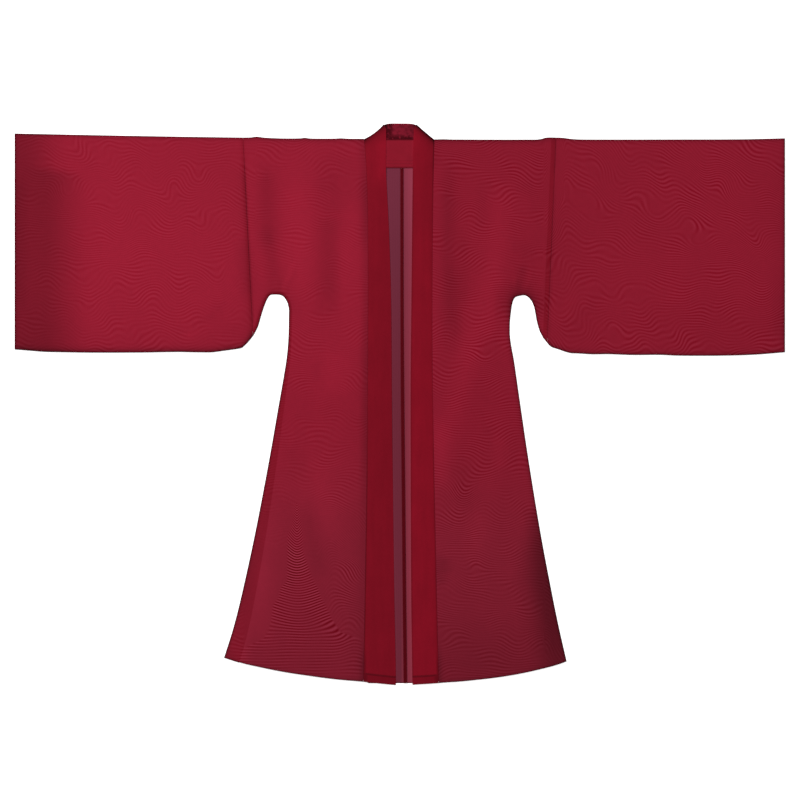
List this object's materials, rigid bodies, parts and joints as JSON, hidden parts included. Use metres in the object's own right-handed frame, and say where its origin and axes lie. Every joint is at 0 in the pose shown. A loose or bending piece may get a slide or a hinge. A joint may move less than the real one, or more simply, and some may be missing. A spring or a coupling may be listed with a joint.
{
  "type": "wide-sleeve hanfu shirt",
  "caption": "Long open-front shirt of thin sheer cloth with wide straight sleeves, a flared skirt and a doubled collar band, laid flat.",
  "frame": {"origin": "on the surface that the shirt lies on, under the middle of its outline", "axes": "+Z away from the surface, +Y towards the neck, +X towards the wearer's left cuff, along the sleeves"},
  "size_m": [1.924, 1.4, 0.0056],
  "materials": {
    "sheer_cloth": "thin plain-woven sheer cloth, wine red, matt with a faint sheen",
    "band_cloth": "the same cloth doubled over a stiffening layer, opaque and deeper red, matt",
    "facing_cloth": "the same cloth, lying on the back panels, wine red, matt",
    "seam_cloth": "several layers of the same cloth pressed flat at a seam, dark red, matt"
  },
  "bodies": {
    "root": {"body_right": "sheer_cloth", "body_left": "sheer_cloth", "sleeve_right": "sheer_cloth", "sleeve_left": "sheer_cloth", "side_seam_right": "seam_cloth", "side_seam_left": "seam_cloth", "collar_band": "band_cloth", "neck_facing": "facing_cloth", "back_seam": "seam_cloth"}
  },
  "joints": []
}
